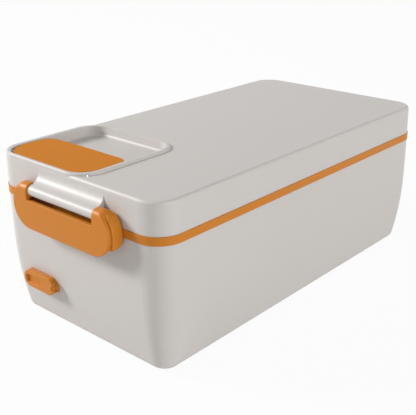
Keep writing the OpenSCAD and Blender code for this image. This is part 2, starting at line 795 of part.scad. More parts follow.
module neutral_lead() {
    y = inlet_offset - pin_pitch / 2;
    color("#33548a") lead([[tag_x, y, inlet_z], [tag_x + 5, y, inlet_z], [-80, 28, 22], [-50, 32, 18],
        [-20, 34, 18], [30, 32, 18], [52, 28, 22], [fuse_x, 20, plate_low_z - 2.2],
        [fuse_x, 14.2, plate_low_z - 2.2]]);
}

// ---------- food containers ----------

module steel_container() {
    inset = container_in + container_rim;
    length = body_length - 2 * inset;
    width = body_width - 2 * inset;
    depth = container_top_z - container_low_z;
    radius = container_radius;
    color(STEEL) {
        translate([0, 0, container_top_z]) around(length, width, radius) {
            difference() {
                union() {
                    translate([0, -step_drop]) square([radius, step_drop]);
                    translate([0, -step_drop + eps]) tub_section(radius - container_step, depth - step_drop + eps, 1.4, 8);
                }
                translate([-eps, -step_drop + steel_thickness])
                    square([radius - steel_thickness + eps, step_drop + 1]);
                translate([-eps, -step_drop + 2 * eps])
                    tub_section(radius - container_step - steel_thickness + eps, depth - step_drop - steel_thickness + 2 * eps,
                        1.4, 7.2);
                translate([-eps, -step_drop - 1])
                    square([radius - container_step - steel_thickness + eps, 2 + steel_thickness]);
            }
            translate([radius - steel_thickness, -steel_thickness]) square([container_rim, steel_thickness]);
            translate([radius - steel_thickness + container_rim, -1]) circle(1, $fn = 24);
        }
        core(length, width, radius, container_low_z, container_low_z + steel_thickness);
    }
}

dish_x = end_x - container_in - container_rim - container_step - dish_length / 2 - 0.5;
dish_flange_z = container_top_z - step_drop + steel_thickness + 0.02;

module side_tray() {
    width = body_width - 2 * (container_in + container_rim + container_step + steel_thickness) - 1.6;
    flange = body_width - 2 * (container_in + container_rim + steel_thickness) - 0.6;
    color("#eceae6") translate([dish_x, 0, dish_flange_z]) {
        around(dish_length - 4, width, 9) difference() {
            tub_section(9, dish_depth, 1.2, 5);
            translate([-eps, eps]) tub_section(9 - dish_wall, dish_depth - dish_wall + eps, 1.2, 4);
        }
        core(dish_length - 4, width, 9, -dish_depth, -dish_depth + dish_wall);
        linear_extrude(1.4) difference() {
            rounded(dish_length, flange, 10);
            rounded(dish_length - 4 - 2 * dish_wall, width - 2 * dish_wall, 9 - dish_wall);
        }
    }
}

// ---------- hinge ----------

module hinge_pin() {
    color(STEEL) translate([hinge_x, 0, hinge_z]) rod_y(hinge_pin_radius, -hinge_half() + 0.5, hinge_half() - 0.5);
}

// ---------- lid ----------

module lid_shell() {
    color(PALE) difference() {
        union() {
            translate([0, 0, lid_z]) around(body_length, body_width, corner_radius) difference() {
                lid_section(corner_radius, lid_height, lid_lean, lid_fillet);
                translate([-eps, -eps]) lid_section(corner_radius - lid_wall + eps, lid_height - lid_wall + eps,
                    lid_lean, 1);
            }
            core(body_length, body_width, corner_radius, lid_top_z - lid_wall, lid_top_z);
            frame_block();
            pocket_floor();
            barrel_bracket();
            for (s = [-1, 1]) lid_knuckle(s);
            for (p = liner_posts) translate([p.x, p.y, liner_top_z + 0.02])
                cylinder(r = liner_boss_radius, h = lid_top_z - liner_top_z - 1);
        }
        recess();
        vent_bore(vent_radius);
        flap_pins(flap_pin_radius + seat);
        for (p = liner_posts) translate([p.x, p.y, liner_top_z - 1]) cylinder(r = screw_radius + seat, h = 7);
        translate([pivot_x, 0, pivot_z]) rod_y(latch_pin_radius + seat, -notch_width, notch_width);
        translate([hinge_x, 0, hinge_z]) rod_y(hinge_pin_radius + pin_fit, -hinge_half(), hinge_half());
    }
}

// Solid of the raised frame's outline, with a rounded top edge
module frame_block() {
    low = lid_height - lid_wall;
    high = lid_height + frame_rise;
    translate([frame_cx, frame_cy, lid_z]) {
        around(frame_length, frame_width, corner_radius) intersection() {
            lid_section(corner_radius - 0.06, high, lid_lean * high / lid_height, 0.9);
            translate([0, low]) square([corner_radius + 1, high]);
        }
        core(frame_length, frame_width, corner_radius, low, high);
    }
}

module pocket_floor() {
    translate([(recess_x0 + recess_x1) / 2, (recess_y0 + recess_y1) / 2, recess_under_z])
        linear_extrude(lid_top_z - recess_under_z)
            rounded(recess_x1 - recess_x0 + 3.2, recess_y1 - recess_y0 + 3.2, recess_radius + 1.6);
}

// The hollow inside the frame, with a rounded floor edge
module recess() {
    length = recess_x1 - recess_x0;
    width = recess_y1 - recess_y0;
    translate([(recess_x0 + recess_x1) / 2, (recess_y0 + recess_y1) / 2, frame_top_z]) {
        translate([0, 0, -eps]) around(length, width, recess_radius) {
            tub_section(recess_radius, recess_depth, 0.3, 2);
            square([recess_radius, 1]);
        }
        core(length, width, recess_radius, -recess_depth, 1);
    }
}

module vent_bore(radius) {
    translate([vent_x, flap_mid_y, recess_under_z - 1]) cylinder(r = radius, h = 4);
}

// The flap's two short pins, between the frame and the flap's front corners
module flap_pins(radius) {
    for (k = [0, 1]) {
        y0 = k == 0 ? flap_y0 - 1.6 : flap_y1 + 1.6 - flap_pin_length;
        translate([flap_axis_x, 0, flap_axis_z]) rod_y(radius, y0, y0 + flap_pin_length);
    }
}

// Barrel for the latch, with a hollow sweep from the lid's front wall
module barrel_bracket() {
    half = notch_width / 2 - soft_gap;
    start = 3.5;
    start_z = lid_top_z - start;
    wall_x = -end_x + lid_lean * (lid_height - start) / lid_height;
    reach = wall_x - pivot_x;
    rise = pivot_drop - start;
    sweep = (pow(reach, 2) + pow(rise, 2) - pow(barrel_radius, 2)) / (2 * (reach + barrel_radius));
    translate([0, half, 0]) rotate([90, 0, 0]) linear_extrude(2 * half) {
        translate([pivot_x, pivot_z]) circle(barrel_radius);
        difference() {
            polygon([[wall_x + 1, start_z], [wall_x - sweep, start_z],
                [pivot_x, pivot_z], [pivot_x, pivot_z - barrel_radius], [wall_x + 1, pivot_z - barrel_radius]]);
            translate([wall_x - sweep, start_z]) circle(sweep);
        }
    }
}

// A lid knuckle with its web up the lid's rear wall
module lid_knuckle(s) {
    y = s * (knuckle_length + knuckle_gap);
    half = knuckle_length / 2;
    translate([hinge_x, y, hinge_z]) rod_y(knuckle_radius, -half, half);
    translate([0, y + half, 0]) rotate([90, 0, 0]) linear_extrude(knuckle_length)
        polygon([[end_x - 1.2, lid_z + 12], [end_x - 0.2, lid_z + 12], [hinge_x + knuckle_radius, hinge_z],
            [hinge_x, hinge_z], [end_x + 1, lid_z + 0.6], [end_x - 1.2, lid_z + 0.6]]);
}

module lid_liner() {
    color("#dedad4") difference() {
        union() {
            slab(liner_z, liner_top_z, liner_inset, corner_radius - liner_inset);
            slab(lid_z + rim_height + 1, liner_z + eps, groove_in + 0.2, corner_radius - groove_in);
        }
        difference() {
            slab(lid_z, liner_z, gasket_in - 0.1, corner_radius - gasket_in + 0.1);
            slab(lid_z - 1, liner_z + 1, groove_out, basin_radius - 4);
        }
        slab(lid_z, liner_z, groove_out + groove_wall, basin_radius - 4 - groove_wall);
        for (p = liner_posts) translate([p.x, p.y, liner_z - 1]) {
            cylinder(r = screw_radius + seat, h = 6);
        }
        translate([vent_x, flap_mid_y, liner_z - 1]) cylinder(r = vent_radius, h = 5);
    }
}

module lid_gasket() {
    mid = gasket_in + gasket_width / 2;
    bead = gasket_width / 2 - 0.6;
    color("#efece6") {
        difference() {
            slab(gasket_low_z + bead, liner_z - 0.02, gasket_in, corner_radius - gasket_in);
            slab(gasket_low_z, liner_z + 1, gasket_in + gasket_width, corner_radius - gasket_in - gasket_width);
        }
        difference() {
            slab(gasket_low_z, gasket_low_z + bead + eps, mid - bead, corner_radius - mid + bead);
            slab(gasket_low_z - 1, gasket_low_z + bead + 1, mid + bead, corner_radius - mid - bead);
        }
    }
}

module liner_screws() {
    color(STEEL) for (p = liner_posts) translate([p.x, p.y, liner_z]) screw(liner_thickness + 5, 1.6);
}

// ---------- steam vent ----------

// Flap's outline: large front corners, a medium and a small rear one
module flap_outline(inset) {
    length = flap_length - 2 * inset;
    width = flap_y1 - flap_y0 - 2 * inset;
    front = flap_front_corner - inset;
    corners = [[-1, -1, front], [-1, 1, front], [1, -1, flap_rear_near - inset], [1, 1, flap_rear_far - inset]];
    difference() {
        square([length, width], center = true);
        for (c = corners) translate([c.x * length / 2, c.y * width / 2]) square(2 * c.z, center = true);
    }
    for (c = corners) translate([c.x * (length / 2 - c.z), c.y * (width / 2 - c.z)]) circle(c.z);
}

module vent_cap() {
    cx = (flap_x0 + flap_x1) / 2;
    color(ORANGE) difference() {
        union() {
            translate([cx, flap_mid_y, flap_low_z]) linear_extrude(flap_thickness) flap_outline(0);
            // finger lip
            translate([flap_x1 - 0.1, flap_mid_y, flap_top_z - 0.75]) rod_y(0.8, -lip_width / 2, lip_width / 2);
        }
        // hollow underside
        translate([cx + 2, flap_mid_y, flap_low_z - eps]) linear_extrude(flap_thickness - 1.6)
            rounded(flap_length - 9.4, flap_y1 - flap_y0 - 11, 6);
        // nail scoop under the lip
        translate([flap_x1 - 1.2, flap_mid_y - lip_width / 2, flap_low_z - 1]) cube([3, lip_width, 2.6]);
        flap_pins(flap_pin_radius + pin_fit);
    }
    color(ORANGE) difference() {
        translate([vent_x, flap_mid_y, flap_low_z + 0.3]) cylinder(r = 3.4, h = flap_thickness - 1.6);
        translate([vent_x, flap_mid_y, flap_low_z - 1]) cylinder(r = 1.5 + seat, h = 3.2);
    }
}

module vent_cap_pin() {
    color(STEEL) flap_pins(flap_pin_radius);
}

module vent_plug() {
    color("#efece6") translate([vent_x, flap_mid_y, 0]) {
        translate([0, 0, recess_floor_z + 0.9]) cylinder(r = 3.2, h = flap_low_z + 0.28 - recess_floor_z - 0.9);
        translate([0, 0, flap_low_z]) cylinder(r = 1.5, h = 1.9);
    }
}

module vent_grommet() {
    color("#efece6") translate([vent_x, flap_mid_y, 0]) difference() {
        union() {
            translate([0, 0, recess_floor_z]) cylinder(r = vent_radius + 1.4, h = 0.6);
            translate([0, 0, liner_top_z + 0.2]) cylinder(r = vent_radius - seat, h = recess_floor_z - liner_top_z);
        }
        translate([0, 0, liner_z - 1]) cylinder(r = 2, h = 20);
    }
}

// ---------- latch ----------

module latch() {
    half = latch_width / 2;
    notch = notch_width / 2;
    color(ORANGE) difference() {
        union() {
            intersection() {
                stadium(latch_front_x, latch_back_x, half, latch_round);
                union() {
                    translate([latch_front_x, -half, latch_low_z]) cube([latch_face, latch_width, pivot_z - latch_low_z]);
                    translate([pivot_x, 0, pivot_z]) rod_y(ear_radius, -half, half);
                }
            }
            for (s = [-1, 1]) {
                ear(s);
                cheek(s);
            }
            hook();
        }
        translate([latch_front_x - 1, -notch, pivot_z - ear_radius - 0.6])
            cube([ear_radius * 2 + 2, 2 * notch, ear_radius * 2 + 2]);
        translate([pivot_x, 0, pivot_z]) rod_y(latch_pin_radius + pin_fit, -half + 5.5, half - 5.5);
    }
}

// Plate with full-round ends between two x positions
module stadium(x0, x1, half, radius) {
    translate([x0, 0, latch_mid_z]) rotate([90, 0, 90]) linear_extrude(x1 - x0) {
        square([2 * (half - radius), 2 * radius], center = true);
        for (s = [-1, 1]) translate([s * (half - radius), 0]) circle(radius);
    }
}

// Domed ear that turns on the pin
module ear(s) {
    edge = latch_width / 2 - latch_round + sqrt(pow(latch_round, 2) - pow(pivot_z - latch_mid_z, 2));
    tip = edge - ear_radius;
    dome = ear_radius - 0.06;
    translate([pivot_x, 0, pivot_z]) rotate([-90 * s, 0, 0]) rotate_extrude() {
        translate([0, notch_width / 2]) square([dome, tip - notch_width / 2]);
        translate([0, tip]) sector(dome, 0, 90);
    }
}

// D-shaped side cheek behind the plate
module cheek(s) {
    outer = latch_width / 2 - cheek_inset;
    inner = outer - cheek_thickness;
    back_x = -end_x - 0.5;
    intersection() {
        translate([latch_front_x - 0.7, s > 0 ? outer : -inner, pivot_z - 7.1]) rotate([90, 0, 0])
            cylinder(r = cheek_radius, h = cheek_thickness);
        stadium(latch_back_x - 0.1, back_x, latch_width / 2, latch_round);
    }
}

// Rib that snaps under the shell's catch, with two gussets
module hook() {
    translate([latch_back_x - 0.1, -hook_half, hook_top_z - hook_thickness])
        cube([-end_x - 1.4 - latch_back_x + 0.1, 2 * hook_half, hook_thickness]);
}

module latch_pin() {
    color(STEEL) translate([pivot_x, 0, pivot_z]) rod_y(latch_pin_radius, -latch_width / 2 + 6, latch_width / 2 - 6);
}

outer_shell();
trim_ring();
base_plate();
base_screws();
rubber_feet();
heating_basin();
heating_plate();
plate_gasket();
ptc_heater();
heater_clamp();
clamp_screws();
thermostat();
thermal_fuse();
heat_shield();
power_inlet();
inlet_pins();
inlet_screws();
live_lead();
heater_lead();
neutral_lead();
inlet_bezel();
steel_container();
side_tray();
hinge_pin();
lid_shell();
lid_liner();
lid_gasket();
liner_screws();
vent_cap();
vent_cap_pin();
vent_plug();
vent_grommet();
latch();
latch_pin();
inlet_cover();
inlet_cover_pin();
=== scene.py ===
"""Looks of the electric lunch box: finishes, soft-edged mouldings, studio and camera.

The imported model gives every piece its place. This script dresses those pieces, builds the mouldings whose
edges have to be soft, and sets up a plain white studio. Lengths are in metres and angles in degrees, unless
a name or a docstring says otherwise.
"""

import json
import logging
import math
from dataclasses import dataclass
from enum import Enum
from typing import Any, Dict, List, Optional, Sequence, Tuple, Union

import bmesh
import bpy
from mathutils import Matrix, Vector

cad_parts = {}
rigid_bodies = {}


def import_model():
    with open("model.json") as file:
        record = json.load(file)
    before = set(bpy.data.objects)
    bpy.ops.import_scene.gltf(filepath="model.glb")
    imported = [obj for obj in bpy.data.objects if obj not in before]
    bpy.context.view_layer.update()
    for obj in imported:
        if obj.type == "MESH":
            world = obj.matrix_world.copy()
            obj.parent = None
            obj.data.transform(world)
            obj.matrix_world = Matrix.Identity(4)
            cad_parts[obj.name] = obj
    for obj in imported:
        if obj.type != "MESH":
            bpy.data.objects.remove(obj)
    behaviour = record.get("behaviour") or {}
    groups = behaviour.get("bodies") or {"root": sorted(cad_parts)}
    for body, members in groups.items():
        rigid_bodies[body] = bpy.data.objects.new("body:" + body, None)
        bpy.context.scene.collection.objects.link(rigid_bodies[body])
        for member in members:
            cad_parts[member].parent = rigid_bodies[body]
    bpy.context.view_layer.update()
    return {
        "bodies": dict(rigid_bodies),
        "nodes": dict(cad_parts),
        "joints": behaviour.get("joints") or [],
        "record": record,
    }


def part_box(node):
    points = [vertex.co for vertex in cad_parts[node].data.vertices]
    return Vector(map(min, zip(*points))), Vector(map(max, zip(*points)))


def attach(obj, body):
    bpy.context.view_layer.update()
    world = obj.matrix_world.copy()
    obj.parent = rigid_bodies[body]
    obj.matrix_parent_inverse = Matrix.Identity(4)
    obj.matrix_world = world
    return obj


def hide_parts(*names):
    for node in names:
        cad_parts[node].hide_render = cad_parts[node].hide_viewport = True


log = logging.getLogger("lunch_box")

Rgb = Tuple[float, float, float]
Point = Tuple[float, float]
Xyz = Tuple[float, float, float]
Number = Union["Signal", float]
Colour = Union["Signal", Rgb]

WHITE = (1.0, 1.0, 1.0)
COARSE, MEDIUM, FINE = 2.0, 3.0, 4.0  # octaves of detail in a noise
EDGE_SAMPLES = 6  # rays that look for an edge to round
SEAM = 1e-6  # corners nearer than this are one corner
RELAX = 0.5  # how far each round of smoothing moves a corner towards its neighbours


class Body(Enum):
    """The rigid bodies of the lunch box."""

    BASE = "base"
    LID = "lid"
    LATCH = "latch"
    FLAP = "vent_flap"
    COVER = "inlet_cover"


class Along(Enum):
    """Axis that a prism's length follows."""

    X = 0
    Y = 1
    Z = 2


# ---------------------------------------------------------------- shader maths


class Signal:
    """One output of a shader node, with the arithmetic of a number."""

    def __init__(self, shade: "Shade", socket: Optional[bpy.types.NodeSocket]) -> None:
        """Wraps a socket.

        Args:
            shade: The node tree that the socket belongs to.
            socket: The output socket, or None.
        """
        self.shade = shade
        self.socket = socket

    def _math(self, operation: str, first: Number, second: Number) -> "Signal":
        """Adds a Math node.

        Args:
            operation: The Math node's operation.
            first: Its first value.
            second: Its second value.

        Returns:
            The node's result.
        """
        return self.shade.node("ShaderNodeMath", {"operation": operation}, {0: first, 1: second})

    def __add__(self, other: Number) -> "Signal":
        """Sum."""
        return self._math("ADD", self, other)

    def __radd__(self, other: Number) -> "Signal":
        """Sum, with a number on the left."""
        return self._math("ADD", other, self)

    def __sub__(self, other: Number) -> "Signal":
        """Difference."""
        return self._math("SUBTRACT", self, other)

    def __rsub__(self, other: Number) -> "Signal":
        """Difference, with a number on the left."""
        return self._math("SUBTRACT", other, self)

    def __mul__(self, other: Number) -> "Signal":
        """Product."""
        return self._math("MULTIPLY", self, other)

    def __rmul__(self, other: Number) -> "Signal":
        """Product, with a number on the left."""
        return self._math("MULTIPLY", other, self)

    def __gt__(self, other: Number) -> "Signal":
        """1 where this is greater, else 0."""
        return self._math("GREATER_THAN", self, other)

    def clamp(self) -> "Signal":
        """The value, kept between 0 and 1."""
        return self.shade.node("ShaderNodeClamp", {}, {"Value": self, "Min": 0.0, "Max": 1.0})


class Shade:
    """The node tree of one material, or of the world."""

    def __init__(self, owner: Union[bpy.types.Material, bpy.types.World]) -> None:
        """Starts with an empty tree.

        Args:
            owner: The material or world that the nodes belong to.
        """
        owner.use_nodes = True
        self.tree = owner.node_tree
        self.tree.nodes.clear()

    def node(
        self,
        kind: str,
        settings: Optional[Dict[str, Any]] = None,
        inputs: Optional[Dict[Union[int, str], Any]] = None,
        output: Union[int, str] = 0,
    ) -> Signal:
        """Adds any node.

        Args:
            kind: The node's type.
            settings: Its properties.
            inputs: Values or signals of its inputs, by name or number.
            output: Which output to return.

        Returns:
            The output as a signal, which is empty for a node without outputs.
        """
        made = self.tree.nodes.new(kind)
        for key, value in (settings or {}).items():
            setattr(made, key, value)
        for key, value in (inputs or {}).items():
            if isinstance(value, Signal):
                self.tree.links.new(value.socket, made.inputs[key])
            else:
                made.inputs[key].default_value = value
        return Signal(self, made.outputs[output] if made.outputs else None)

    def colour(self, value: Colour) -> Any:
        """A colour as an input takes it: a signal as it is, a tuple with its alpha."""
        return value if isinstance(value, Signal) else (*value, 1.0)

    def place(self) -> Signal:
        """Coordinates fixed to the piece."""
        return self.node("ShaderNodeTexCoord", output="Object")

    def stretch(self, scale: Xyz) -> Signal:
        """The piece's coordinates, multiplied by a scale for each axis."""
        return self.node("ShaderNodeVectorMath", {"operation": "MULTIPLY"}, {0: self.place(), 1: scale})

    def noise(self, scale: float, detail: float = COARSE, vector: Optional[Signal] = None) -> Signal:
        """Noise from 0 to 1.

        Args:
            scale: Grains per metre.
            detail: Octaves of detail.
            vector: Coordinates, or the piece's own.

        Returns:
            The noise value.
        """
        at = vector or self.place()
        return self.node("ShaderNodeTexNoise", {}, {"Vector": at, "Scale": scale, "Detail": detail})

    def cells(self, scale: float) -> Signal:
        """Distance to the nearest point of a pattern with this many cells per metre."""
        return self.node("ShaderNodeTexVoronoi", {}, {"Vector": self.place(), "Scale": scale})

    def bands(self, scale: float) -> Signal:
        """Slanted waves from 0 to 1, this many per metre."""
        settings = {"wave_type": "BANDS", "bands_direction": "DIAGONAL"}
        return self.node("ShaderNodeTexWave", settings, {"Vector": self.place(), "Scale": scale}, 1)

    def blend(self, share: Number, first: Colour, second: Colour) -> Signal:
        """Mixes two colours.

        Args:
            share: Share of the second colour.
            first: First colour.
            second: Second colour.

        Returns:
            The mixed colour.
        """
        inputs = {0: share, 6: self.colour(first), 7: self.colour(second)}
        return self.node("ShaderNodeMix", {"data_type": "RGBA"}, inputs, 2)

    def rounded_edges(self, radius: float) -> Signal:
        """Normals that round off sharp edges by this radius."""
        return self.node("ShaderNodeBevel", {"samples": EDGE_SAMPLES}, {"Radius": radius})

    def relief(self, height: Signal, depth: float, normal: Optional[Signal] = None) -> Signal:
        """Bump from a height.

        Args:
            height: Height from 0 to 1.
            depth: What a height of 1 measures.
            normal: Normal that the relief lies on, or the surface's own.

        Returns:
            The bumped normal.
        """
        inputs: Dict[Union[int, str], Any] = {"Height": height, "Distance": depth, "Strength": 1.0}
        if normal is not None:
            inputs["Normal"] = normal
        return self.node("ShaderNodeBump", {}, inputs)

    def seen_directly(self) -> Signal:
        """Tells what the camera sees, also in a mirror or through glass, from light on the object.

        Returns:
            1 for what it sees, else 0.
        """
        path = "ShaderNodeLightPath"
        camera = self.node(path, output="Is Camera Ray")
        mirrored = self.node(path, output="Is Glossy Ray")
        through = self.node(path, output="Is Transmission Ray")
        return (camera + mirrored + through).clamp()

    def surface(self, base: Colour, roughness: Number, normal: Signal, **constants: float) -> None:
        """Ends the tree in a Principled shader.

        Args:
            base: Base colour.
            roughness: Roughness.
            normal: Normal.
            **constants: Fixed values of other sockets, with underscores for spaces.
        """
        inputs = {"Base Color": self.colour(base), "Roughness": roughness, "Normal": normal}
        for key, value in constants.items():
            inputs[key.replace("_", " ")] = value
        self.finish(self.node("ShaderNodeBsdfPrincipled", {}, inputs))

    def finish(self, shader: Signal, kind: str = "ShaderNodeOutputMaterial") -> None:
        """Connects the last shader to the output.

        Args:
            shader: The shader.
            kind: Type of the output node.
        """
        self.node(kind, {}, {"Surface": shader})


# ---------------------------------------------------------------- finishes


@dataclass(frozen=True)
class Finish:
    """A finish of some pieces. Each kind mixes its own colour, roughness and relief.

    A pattern is named by its scale, in grains per metre. Its tint is what it does to the colour, its share
    how much of it counts, and its sheen what it adds to the roughness after the polish is taken off. Depth
    is the relief's, and edge is the radius to which sharp edges are rounded.
    """

    name: str
    colour: Rgb

    def tint(self, share: float) -> Rgb:
        """The colour, lighter or darker by a share of itself."""
        return tuple(min(1.0, part * (1 + share)) for part in self.colour)

    def coat(self, shade: Shade) -> None:
        """Fills a material's empty node tree."""
        raise NotImplementedError

    def material(self) -> bpy.types.Material:
        """Builds the material.

        Returns:
            The material.
        """
        material = bpy.data.materials.new(self.name)
        self.coat(Shade(material))
        return material


@dataclass(frozen=True)
class MouldedPlastic(Finish):
    """Injection-moulded plastic with a fine grain, softly rounded edges and a faint unevenness."""

    roughness: float = 0.42
    grain: float = 2600.0
    depth: float = 0.000012
    edge: float = 0.0004
    specular: float = 0.5
    cloud: float = 14.0
    cloud_tint: float = 0.02
    cloud_sheen: float = 0.06
    grain_tint: float = 0.12
    grain_share: float = 0.3
    grain_sheen: float = 0.04
    polish: float = 0.05

    def coat(self, shade: Shade) -> None:
        """Mixes the plastic's colour, sheen and grain.

        Args:
            shade: The material's empty node tree.
        """
        cloud = shade.noise(self.cloud, MEDIUM)
        grain = shade.noise(self.grain)
        base = shade.blend(cloud, self.tint(-self.cloud_tint), self.tint(self.cloud_tint))
        base = shade.blend((grain - 0.5) * self.grain_share, base, self.tint(self.grain_tint))
        roughness = (self.roughness - self.polish) + cloud * self.cloud_sheen + grain * self.grain_sheen
        normal = shade.relief(grain, self.depth, shade.rounded_edges(self.edge))
        shade.surface(base, roughness, normal, Specular_IOR_Level=self.specular)


@dataclass(frozen=True)
class Rubber(Finish):
    """Soft rubber or silicone with a dull, slightly cloudy skin."""

    roughness: float = 0.62
    cloud: float = 40.0
    cloud_tint: float = 0.07
    grain: float = 1800.0
    grain_sheen: float = 0.16
    polish: float = 0.08
    depth: float = 0.00002
    edge: float = 0.0003

    def coat(self, shade: Shade) -> None:
        """Mixes the rubber's colour, sheen and grain.

        Args:
            shade: The material's empty node tree.
        """
        cloud = shade.noise(self.cloud, FINE)
        grain = shade.noise(self.grain, MEDIUM)
        base = shade.blend(cloud, self.tint(-self.cloud_tint), self.tint(self.cloud_tint))
        roughness = (self.roughness - self.polish) + grain * self.grain_sheen
        shade.surface(base, roughness, shade.relief(grain, self.depth, shade.rounded_edges(self.edge)))


@dataclass(frozen=True)
class BrushedMetal(Finish):
    """Sheet metal with brush marks along its length, and smears from handling."""

    roughness: float = 0.28
    brush: Xyz = (60.0, 2600.0, 2600.0)
    dark_streak: float = -0.1
    light_streak: float = 0.08
    streak_sheen: float = 0.14
    smear: float = 22.0
    smear_sheen: float = 0.06
    polish: float = 0.06
    depth: float = 0.000008
    edge: float = 0.0003

    def coat(self, shade: Shade) -> None:
        """Mixes the metal's colour, sheen and brush marks.

        Args:
            shade: The material's empty node tree.
        """
        streak = shade.noise(1.0, MEDIUM, shade.stretch(self.brush))
        smear = shade.noise(self.smear, MEDIUM)
        base = shade.blend(streak, self.tint(self.dark_streak), self.tint(self.light_streak))
        roughness = (self.roughness - self.polish) + streak * self.streak_sheen + smear * self.smear_sheen
        normal = shade.relief(streak, self.depth, shade.rounded_edges(self.edge))
        shade.surface(base, roughness, normal, Metallic=1.0)


@dataclass(frozen=True)
class CastMetal(Finish):
    """Cast, plated or crinkled metal with a grainy, faintly stained skin."""

    roughness: float = 0.4
    grain: float = 1500.0
    depth: float = 0.00003
    crinkle: float = 0.0
    crinkle_share: float = 0.7
    grain_sheen: float = 0.12
    stain: float = 30.0
    dark_stain: float = -0.12
    light_stain: float = 0.06
    stain_sheen: float = 0.08
    polish: float = 0.08
    edge: float = 0.0002

    def coat(self, shade: Shade) -> None:
        """Mixes the metal's colour, sheen and grain, with a crinkle if it has one.

        Args:
            shade: The material's empty node tree.
        """
        grain = shade.noise(self.grain, MEDIUM)
        stain = shade.noise(self.stain, FINE)
        height = grain
        if self.crinkle:
            height = grain * (1 - self.crinkle_share) + shade.cells(self.crinkle) * self.crinkle_share
        base = shade.blend(stain, self.tint(self.dark_stain), self.tint(self.light_stain))
        roughness = (self.roughness - self.polish) + grain * self.grain_sheen + stain * self.stain_sheen
        normal = shade.relief(height, self.depth, shade.rounded_edges(self.edge))
        shade.surface(base, roughness, normal, Metallic=1.0)


@dataclass(frozen=True)
class Ceramic(Finish):
    """Fired or potted block with dark specks."""

    roughness: float = 0.6
    speck: float = 900.0
    speck_limit: float = 0.62
    speck_share: float = 0.6
    speck_tint: float = -0.35
    speck_sheen: float = 0.2
    depth: float = 0.00004

    def coat(self, shade: Shade) -> None:
        """Mixes the block's colour, sheen and specks.

        Args:
            shade: The material's empty node tree.
        """
        speck = shade.noise(self.speck, FINE)
        mask = (speck > self.speck_limit) * self.speck_share
        base = shade.blend(mask, self.colour, self.tint(self.speck_tint))
        roughness = self.roughness + speck * self.speck_sheen
        shade.surface(base, roughness, shade.relief(speck, self.depth))


@dataclass(frozen=True)
class WireSleeve(Finish):
    """Insulation of an inner lead, with fine ribs or a braid."""

    ribs: float = 900.0
    depth: float = 0.00004
    roughness: float = 0.4
    rib_sheen: float = 0.15
    # painted shade in the grooves and a painted highlight on the ribs, as shares of the colour
    groove_painted_shade: float = -0.15
    rib_painted_highlight: float = 0.1

    def coat(self, shade: Shade) -> None:
        """Mixes the sleeve's colour, sheen and ribs, with painted shade in the grooves and a painted
        highlight on the ribs.

        Args:
            shade: The material's empty node tree.
        """
        rib = shade.bands(self.ribs)
        # the colour follows the rib relief: painted shade in the grooves, painted highlight on the ribs
        base = shade.blend(rib, self.tint(self.groove_painted_shade), self.tint(self.rib_painted_highlight))
        shade.surface(base, self.roughness + rib * self.rib_sheen, shade.relief(rib, self.depth))


PALE = MouldedPlastic("pale_plastic", (0.596, 0.565, 0.537), 0.46)
ORANGE = MouldedPlastic("orange_plastic", (0.592, 0.202, 0.0175), 0.4, specular=0.22)
# the flap's copy of the orange plastic, painted light: a lighter orange with little reflection, for how the
# flap's top looks under the lamps
FLAP = MouldedPlastic("flap_plastic", (0.642, 0.22, 0.02), 0.55, specular=0.04)
LINER = MouldedPlastic("liner_plastic", (0.7, 0.68, 0.64), 0.4)
DARK = MouldedPlastic("dark_plastic", (0.07, 0.07, 0.075), 0.5, grain=1800.0, depth=0.00002)
SILICONE = Rubber("silicone", (0.78, 0.76, 0.72), 0.55)
ZINC = CastMetal("zinc_plate", (0.5, 0.51, 0.52), 0.36, grain=900.0, depth=0.00001)


# ---------------------------------------------------------------- meshes


def placed(name: str, data: bpy.types.ID) -> bpy.types.Object:
    """Puts a mesh, a lamp or a camera into the scene.

    Args:
        name: Name of the object.
        data: The mesh, lamp or camera.

    Returns:
        The object.
    """
    made = bpy.data.objects.new(name, data)
    bpy.context.scene.collection.objects.link(made)
    return made


def settled(thing: bpy.types.Object, name: str) -> bpy.types.Object:
    """Turns an object with modifiers into a plain mesh object with smooth faces.

    Args:
        thing: The object, which is removed.
        name: Name of the result.

    Returns:
        The new object.
    """
    bpy.context.view_layer.update()
    graph = bpy.context.evaluated_depsgraph_get()
    mesh = bpy.data.meshes.new_from_object(thing.evaluated_get(graph))
    mesh.name = name
    for polygon in mesh.polygons:
        polygon.use_smooth = True
    made = placed(name, mesh)
    bpy.data.objects.remove(thing)
    return made


def intersect(thing: bpy.types.Object, other: bpy.types.Object, solver: str) -> None:
    """Adds a modifier that keeps only what lies inside another piece.

    Args:
        thing: The piece that is cut.
        other: The piece that it is cut to.
        solver: The Boolean modifier's solver.
    """
    cut = thing.modifiers.new("cut", "BOOLEAN")
    cut.operation = "INTERSECT"
    cut.solver = solver
    cut.object = other


def softened(
    mesh: bpy.types.Mesh,
    name: str,
    cell: float,
    rounds: int,
    keep: float,
    within: Optional[bpy.types.Mesh],
) -> bpy.types.Object:
    """Refills a moulding with an even mesh and rounds all its edges.

    Args:
        mesh: The sharp-edged moulding, whose parts may overlap. It is used up.
        name: Name of the new piece.
        cell: Size of the even mesh's cells.
        rounds: How often the mesh is relaxed, which sets the edges' radius.
        keep: Share of the faces that is kept, the rest being merged where the surface is flat.
        within: Closed mesh that the piece is cut to before its edges are rounded, or None.

    Returns:
        The soft-edged piece.
    """
    raw = placed(name + "_raw", mesh)
    even = raw.modifiers.new("even", "REMESH")
    even.mode = "VOXEL"
    even.voxel_size = cell
    around = placed(name + "_around", within) if within else None
    if around:
        intersect(raw, around, "MANIFOLD")
    relax = raw.modifiers.new("relax", "SMOOTH")
    relax.factor = RELAX
    relax.iterations = rounds
    if keep < 1.0:
        raw.modifiers.new("thin", "DECIMATE").ratio = keep
    made = settled(raw, name)
    made.data.materials.clear()
    if around:
        bpy.data.objects.remove(around)
    return made


